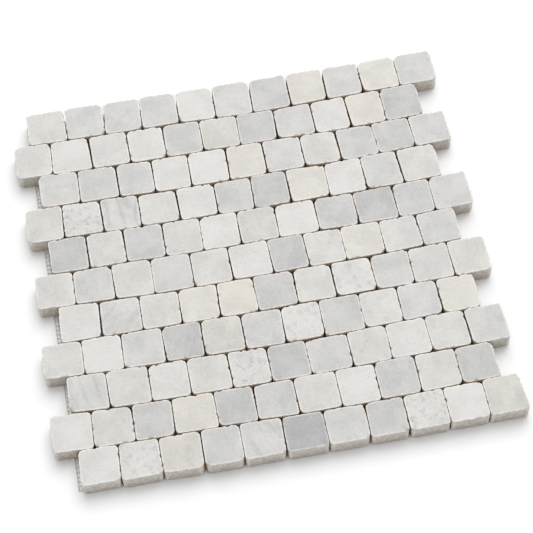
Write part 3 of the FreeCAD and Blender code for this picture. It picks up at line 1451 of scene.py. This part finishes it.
        # Pale edge: crushed stone and, partly, a painted highlight where the worn edge catches the light.
        # Noise breaks the tint up.
        crushed_and_highlight = bench.ramp(bench.noise(tile.own, self.rim_breakup), self.crushed_and_highlight)
        crushed_and_highlight = bench.math("MULTIPLY", tile.rim, crushed_and_highlight)
        face = self.stone_colour(bench, tile, mottled["Cloud"], mottled["Grain"])
        face = self.marked(bench, tile, flecks, face)
        face = bench.tint(bench.math("MULTIPLY", crushed_and_highlight, self.face_crushed_and_highlight), face, CRUSHED_AND_HIGHLIGHT)
        colour = bench.mix(tile.wall, face, self.wall_colour(bench, tile, dust_and_shade, crushed_and_highlight))
        pit = self.scatter(bench, flecks, self.pit, tile.own)
        pit = bench.math("MULTIPLY", pit, bench.ramp(tile.rim, self.pitted))
        colour = bench.tint(bench.math("MULTIPLY", pit, self.pit.strength), colour, self.pit.colour)
        bench.feed(shader.inputs["Base Color"], colour)

        polish = bench.ramp(mottled["Cloud"], self.face_roughness)
        roughness = {0: tile.wall, 2: polish, 3: self.wall_roughness}
        bench.feed(shader.inputs["Roughness"],
                   bench.add("ShaderNodeMix", roughness, data_type="FLOAT").outputs[0])

        relief = bench.noise(tile.own, self.pores)
        relief = bench.math("MULTIPLY", relief, bench.ramp(tile.wall, self.pore_depth))
        bump = {"Strength": self.bump_strength, "Distance": self.bump_depth, "Height": relief}
        bench.feed(shader.inputs["Normal"], bench.add("ShaderNodeBump", bump).outputs[0])
        return material


@dataclass(frozen=True)
class NetFinish:
    """Glass-fibre threads, stiff with a dried coating and grey with stone dust."""

    name: str = "glass_fibre"
    slot: str = "glass_fibre_net"
    thread: Colour = (0.865, 0.865, 0.850)
    dusty_and_shade: Colour = (0.740, 0.730, 0.705)
    cloud_size: float = 5.0 * MM
    grain_size: float = 0.5 * MM
    dust_and_shade_height: float = 0.9 * MM
    dust_and_shade_share: Ramp = Ramp(0.30, 0.70, 0.30, 0.90)
    roughness: Ramp = Ramp(0.30, 0.70, 0.52, 0.77)
    bump_strength: float = 0.5
    bump_depth: float = 0.1 * MM

    def make(self, mottle: Effect, dust_and_shade: Effect) -> bpy.types.Material:
        """Build the material.

        Args:
            mottle: The mottling effect.
            dust_and_shade: The dust effect.

        Returns:
            The material.
        """
        material, bench, shader = blank_material(self.name)
        place = bench.place()
        sizes = {"Cloud": self.cloud_size, "Grain": self.grain_size}
        mottled = mottle.use(bench, {"Vector": place, **sizes}).outputs
        dusted = dust_and_shade.use(bench, {"Vector": place, "Height": self.dust_and_shade_height}).outputs["Mask"]
        dusted = bench.math("MULTIPLY", dusted, bench.ramp(mottled["Cloud"], self.dust_and_shade_share))
        bench.feed(shader.inputs["Base Color"], bench.tint(dusted, linear(self.thread), self.dusty_and_shade))
        bench.feed(shader.inputs["Roughness"], bench.ramp(mottled["Grain"], self.roughness))
        bump = {"Strength": self.bump_strength, "Distance": self.bump_depth, "Height": mottled["Grain"]}
        bench.feed(shader.inputs["Normal"], bench.add("ShaderNodeBump", bump).outputs[0])
        return material


@dataclass
class Studio:
    """A pale floor, a soft sky and one large lamp behind and to the right.

    Attributes:
        floor_size: Side of the floor.
        floor_colour: Its colour.
        far_glow: How the floor is kept white to the camera, by distance from the sheet.
        sky_level: Strength of the sky's light.
        lamp_place: Where the lamp hangs.
        lamp_size: Side of the lamp.
        lamp_power: Its power.
    """

    floor_size: float = 6.0
    floor_colour: Colour = (0.971, 0.974, 0.978)
    far_glow: Ramp = Ramp(0.26, 1.6, 0.0, 0.45)
    sky_level: float = 0.675
    lamp_place: tuple[float, float, float] = (0.90, 2.49, 4.25)
    lamp_size: float = 4.1
    lamp_power: float = 160.0

    def floor(self) -> None:
        """Make the floor: plain round the sheet, and kept white to the camera further out."""
        mesh = bmesh.new()
        bmesh.ops.create_grid(mesh, x_segments=1, y_segments=1, size=self.floor_size / 2)
        floor = finished(mesh, "floor")
        material, bench, shader = blank_material("floor")
        shader.inputs["Base Color"].default_value = linear(self.floor_colour)
        shader.inputs["Roughness"].default_value = 1.0
        shader.inputs["Specular IOR Level"].default_value = 0.0
        shader.inputs["Emission Color"].default_value = (1.0, 1.0, 1.0, 1.0)
        away = bench.add("ShaderNodeVectorMath", {0: bench.place()}, operation="LENGTH").outputs["Value"]
        glow = bench.math("MULTIPLY", bench.seen(), bench.ramp(away, self.far_glow))
        bench.feed(shader.inputs["Emission Strength"], glow)
        floor.data.materials.append(material)

    def sky(self) -> None:
        """Make the world: a soft sky for light, and plain white where it is seen."""
        world = bpy.data.worlds.new("sky")
        world.use_nodes = True
        bench = NodeBench(world.node_tree)
        background = world.node_tree.nodes["Background"]
        background.inputs["Color"].default_value = (1.0, 1.0, 1.0, 1.0)
        strength = bench.ramp(bench.seen(), Ramp(0.0, 1.0, self.sky_level, 1.0, eased=False))
        bench.feed(background.inputs["Strength"], strength)
        bpy.context.scene.world = world

    def lamp(self) -> None:
        """Hang the lamp, turned to the sheet."""
        light = bpy.data.lights.new("soft_lamp", "AREA")
        light.shape = "SQUARE"
        light.size = self.lamp_size
        light.energy = self.lamp_power
        lamp = bpy.data.objects.new("soft_lamp", light)
        lamp.location = self.lamp_place
        lamp.rotation_mode = "QUATERNION"
        lamp.rotation_quaternion = (-Vector(self.lamp_place)).to_track_quat("-Z", "Y")
        bpy.context.scene.collection.objects.link(lamp)

    def build(self) -> None:
        """Set up the whole studio."""
        self.floor()
        self.sky()
        self.lamp()
        LOG.info("floor, sky and lamp are set up")


@dataclass
class Viewpoint:
    """The camera: where it looks, from where, and through which lens.

    Attributes:
        target: Point that it looks at.
        turned: Angle round the sheet, from the front towards the left.
        raised: Angle above the floor.
        rolled: Angle that it is tipped to its side.
        distance: Distance from the target.
        lens: Focal length in millimetres.
        sensor: Width of the sensor in millimetres.
    """

    target: tuple[float, float, float] = (0.0047, -0.0086, 0.0130)
    turned: float = math.radians(8.76)
    raised: float = math.radians(59.97)
    rolled: float = math.radians(-1.88)
    distance: float = 1.2664
    lens: float = 126.8
    sensor: float = 36.0

    def build(self) -> None:
        """Make the camera and look through it."""
        data = bpy.data.cameras.new("camera")
        data.lens = self.lens
        data.sensor_width = self.sensor
        camera = bpy.data.objects.new("camera", data)
        level, up = math.cos(self.raised), math.sin(self.raised)
        back = Vector((-math.sin(self.turned) * level, -math.cos(self.turned) * level, up))
        roll = Quaternion((0.0, 0.0, 1.0), self.rolled)
        camera.location = Vector(self.target) + back * self.distance
        camera.rotation_mode = "QUATERNION"
        camera.rotation_quaternion = (-back).to_track_quat("-Z", "Y") @ roll
        bpy.context.scene.collection.objects.link(camera)
        bpy.context.scene.camera = camera
        LOG.info("camera stands %.2f m from the sheet", self.distance)


class MosaicSheet:
    """The whole sheet: its rows of tiles and its net, dressed."""

    def __init__(self) -> None:
        """Read the sheet's plan from the CAD rows and make the finishes."""
        self.plan = SheetPlan()
        for number in range(1, ROW_COUNT + 1):
            self.plan.read(number)
        mottle, flecks, dust_and_shade = mottle_effect(), fleck_effect(), dust_and_shade_effect()
        self.marble_finish = MarbleFinish()
        self.net_finish = NetFinish()
        self.marble = self.marble_finish.make(mottle, flecks, dust_and_shade)
        self.glass_fibre = self.net_finish.make(mottle, dust_and_shade)

    def join(self, piece: bpy.types.Object, node: str, material: bpy.types.Material) -> None:
        """Give a piece its material and its place in the frame.

        Args:
            piece: The piece.
            node: The CAD node that it stands for.
            material: Its material.
        """
        piece.data.materials.append(material)
        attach(piece, ROOT_BODY)
        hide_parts(node)
        LOG.info("%s stands for %s: %d faces", piece.name, node, len(piece.data.polygons))

    def build(self) -> None:
        """Build and dress every piece."""
        mixer = StoneMixer()
        for number in range(1, ROW_COUNT + 1):
            row = TileRow(number, self.plan, mixer)
            self.join(row.build(), row.node, self.marble)
        self.join(BackingNet().build(), NET_NODE, self.glass_fibre)


def main() -> None:
    """Build the camera, the studio and the sheet."""
    logging.basicConfig(level=logging.INFO, format="%(name)s: %(message)s")
    bpy.context.scene.view_settings.view_transform = "Standard"
    Viewpoint().build()
    Studio().build()
    MosaicSheet().build()


if __name__ == "__main__":
    main()
